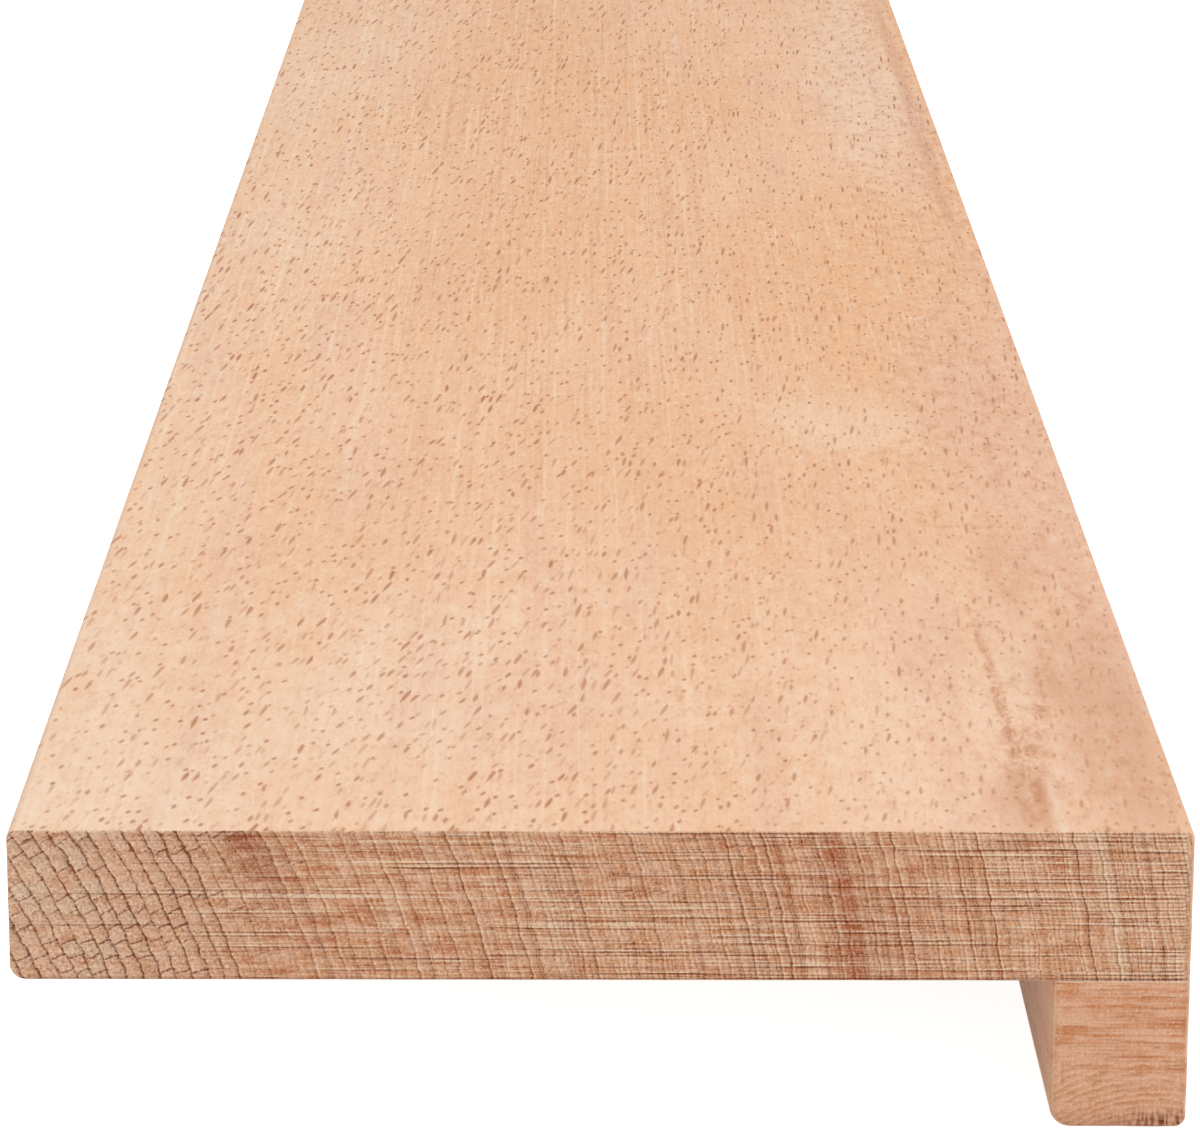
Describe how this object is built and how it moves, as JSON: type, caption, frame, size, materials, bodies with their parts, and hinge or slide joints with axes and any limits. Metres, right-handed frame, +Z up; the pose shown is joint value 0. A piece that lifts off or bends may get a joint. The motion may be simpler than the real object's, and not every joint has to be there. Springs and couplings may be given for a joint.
{
  "type": "stair tread",
  "caption": "Solid beech stair tread: a wide board with a square strip glued under its front edge, which deepens the nosing and laps over the riser.",
  "frame": {"origin": "under the middle of the tread, at the centre of its bounding box, level with the bottom of the nosing strip", "axes": "+X from the back edge to the front (nosing) edge, +Y along the tread, +Z up to the walking surface"},
  "size_m": [0.3, 1.4, 0.08],
  "materials": {
    "beech": "sanded, unfinished"
  },
  "bodies": {
    "root": {"tread_board": "beech", "nosing_strip": "beech"}
  },
  "joints": []
}
